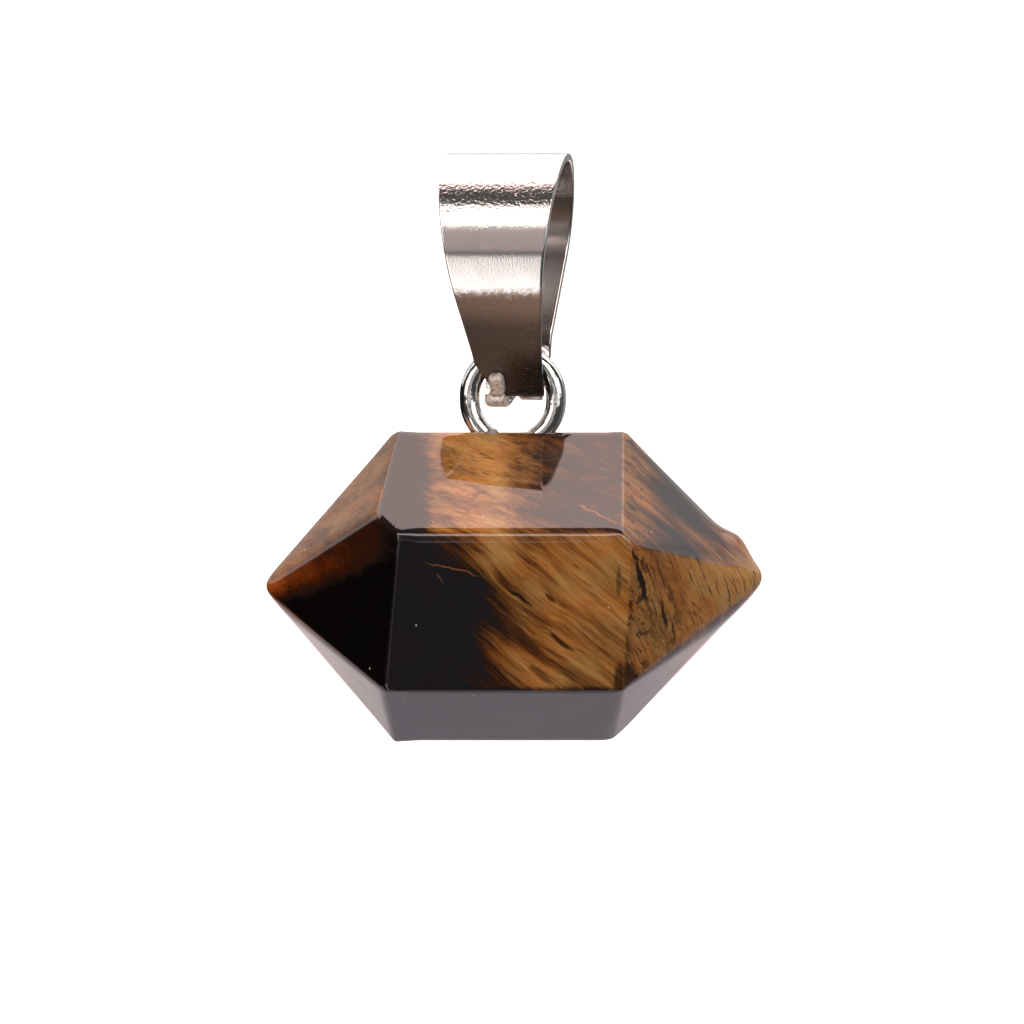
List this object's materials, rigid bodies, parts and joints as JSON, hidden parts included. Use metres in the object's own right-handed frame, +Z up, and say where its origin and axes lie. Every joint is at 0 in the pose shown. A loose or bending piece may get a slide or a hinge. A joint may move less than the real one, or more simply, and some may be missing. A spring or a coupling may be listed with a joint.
{
  "type": "tiger eye pendant",
  "caption": "Hexagonal double-pointed polished stone, lying level, set on a small wire ring that hangs in a folded and tapered steel strip bail.",
  "frame": {"origin": "inside the top of the bail's loop, where the cord or chain that carries the pendant lies", "axes": "+Z up, +X along the stone towards its blunter tip, front at -Y"},
  "size_m": [0.023, 0.0131, 0.0278],
  "materials": {
    "satin_steel": "stainless strip, satin polished, with a fine speckle along the strip and a few light scratches",
    "polished_steel": "round stainless wire, polished bright",
    "tiger_eye": "tiger eye quartz, cut and polished glassy, silky golden brown fibres beside near-black bands"
  },
  "bodies": {
    "bail": {"bail": "satin_steel"},
    "drop": {"ring": "polished_steel", "stone": "tiger_eye"}
  },
  "joints": [
    {"name": "drop_swing", "type": "hinge", "parent": "bail", "child": "drop", "pos_m": [0, 0.00051, -0.00968], "axis": [0.9986, -0.0523, 0], "range_deg": [-25, 25]}
  ]
}
